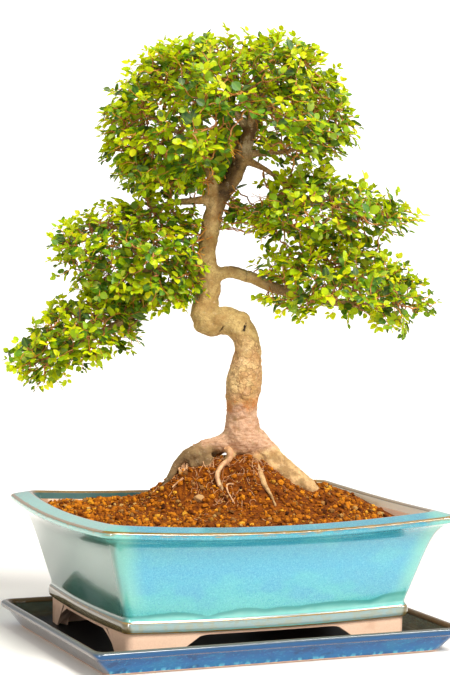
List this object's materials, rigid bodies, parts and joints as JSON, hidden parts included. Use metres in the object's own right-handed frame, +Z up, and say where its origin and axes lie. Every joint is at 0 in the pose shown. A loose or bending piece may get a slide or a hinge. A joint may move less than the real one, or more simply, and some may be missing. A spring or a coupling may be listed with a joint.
{
  "type": "chinese elm bonsai in a glazed pot",
  "caption": "Bonsai elm with an S-bent trunk, spread surface roots and flat pads of small leaves, in a footed glazed pot on a drip tray.",
  "frame": {"origin": "centre of the tray's flat underside, on the table", "axes": "+X along the pot's long side, +Y to the back, +Z up the tree"},
  "size_m": [0.3466, 0.2556, 0.5091],
  "materials": {
    "tray_glaze": "gloss blue glaze",
    "pot_glaze": "gloss aqua glaze",
    "plastic_mesh": "matte black",
    "wire": "dull wire",
    "soil": "granular, dry",
    "pebble": "rough",
    "bark": "rough bark",
    "foliage": "satin leaves"
  },
  "bodies": {
    "root": {"drip_tray": "tray_glaze", "pot": "pot_glaze", "drain_mesh_left": "plastic_mesh", "drain_mesh_right": "plastic_mesh", "mesh_clip_left": "wire", "mesh_clip_right": "wire", "soil": "soil", "pale_stone": "pebble", "tree": "bark", "foliage_crown": "foliage", "foliage_left_middle": "foliage", "foliage_left_low": "foliage", "foliage_right_upper": "foliage", "foliage_right_low": "foliage"}
  },
  "joints": []
}
